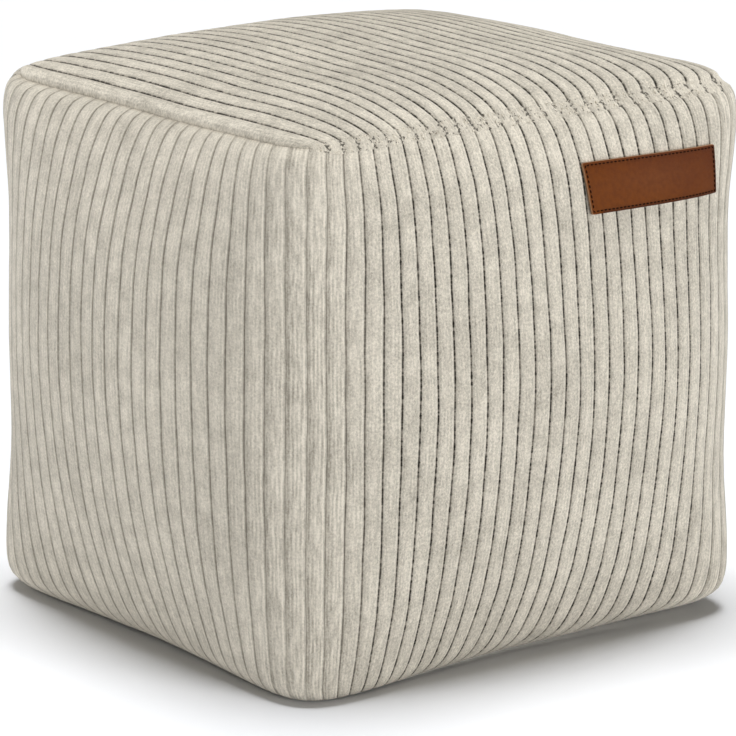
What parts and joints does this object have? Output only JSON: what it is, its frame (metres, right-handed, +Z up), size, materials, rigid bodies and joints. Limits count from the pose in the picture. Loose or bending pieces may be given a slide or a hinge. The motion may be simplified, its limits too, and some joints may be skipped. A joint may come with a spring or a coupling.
{
  "type": "bean bag footstool",
  "caption": "Cube-shaped bean bag footstool in jumbo cord with bulging sides, a domed sewn-in top panel, a flat base and a stitched leather patch on the front.",
  "frame": {"origin": "on the floor, under the middle of the footstool's overall size", "axes": "+Z up, the front with the leather patch faces -Y, +X to the right as seen from the front"},
  "size_m": [0.4489, 0.4181, 0.3952],
  "materials": {
    "band_cord": "pale stone jumbo cord with a short velvety pile",
    "top_cord": "pale stone jumbo cord with a short velvety pile",
    "base_cord": "pale stone jumbo cord, flattened where it stands",
    "leather": "tan waxed leather, edge stitched"
  },
  "bodies": {
    "root": {"filled_body": "band_cord", "top_panel": "top_cord", "base_panel": "base_cord", "leather_patch": "leather"}
  },
  "joints": []
}
